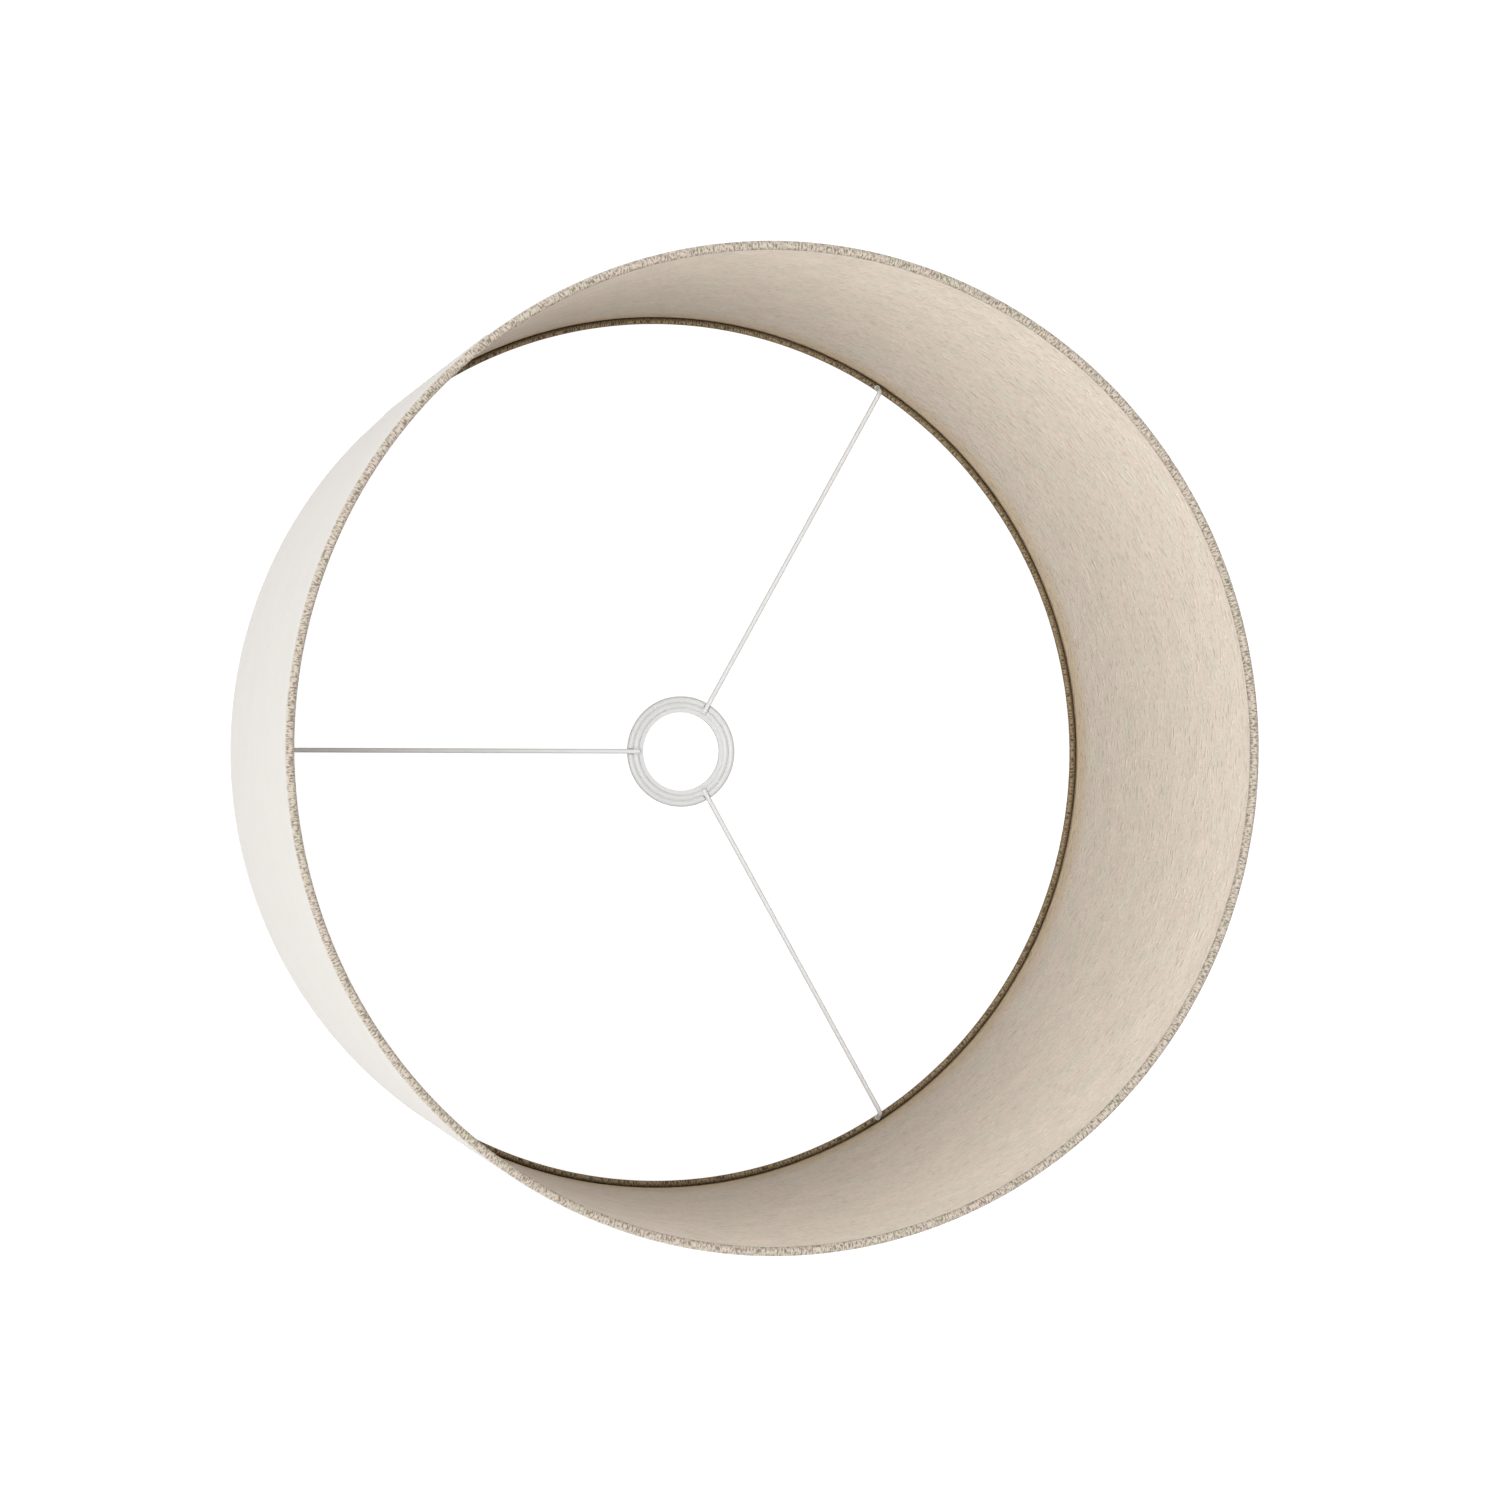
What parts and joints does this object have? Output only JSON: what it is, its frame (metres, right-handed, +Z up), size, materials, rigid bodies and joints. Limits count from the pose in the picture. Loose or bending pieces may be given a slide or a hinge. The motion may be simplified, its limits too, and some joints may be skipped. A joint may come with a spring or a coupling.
{
  "type": "lamp shade",
  "caption": "Straight drum lamp shade in natural linen over a stiffened wall, with rolled rims and a white wire spider that carries a flat holder ring.",
  "frame": {"origin": "centre of the footprint of the rim that carries the spider, on the plane the shade stands on", "axes": "+Z up along the drum's axis, from the spider's rim to the open rim; -Y along spoke_1"},
  "size_m": [0.45, 0.45, 0.2255],
  "materials": {
    "linen_cover": "natural linen weave with slubs, matte",
    "linen_lining": "woven inner face, matte, slubs run round the drum",
    "stiffener_film": "translucent film, satin",
    "adhesive_tape": "clear double-sided tape",
    "ring_wire": "white coated steel wire",
    "spider_white": "white powder coat, satin"
  },
  "bodies": {
    "root": {"cover_fabric": "linen_cover", "stiffener_sheet": "stiffener_film", "lining_fabric": "linen_lining", "seam_tape": "adhesive_tape", "upper_ring": "ring_wire", "lower_ring": "ring_wire", "hub_ring": "spider_white", "spoke_1": "spider_white", "spoke_2": "spider_white", "spoke_3": "spider_white", "hub_welds": "spider_white", "foot_welds": "spider_white"}
  },
  "joints": []
}
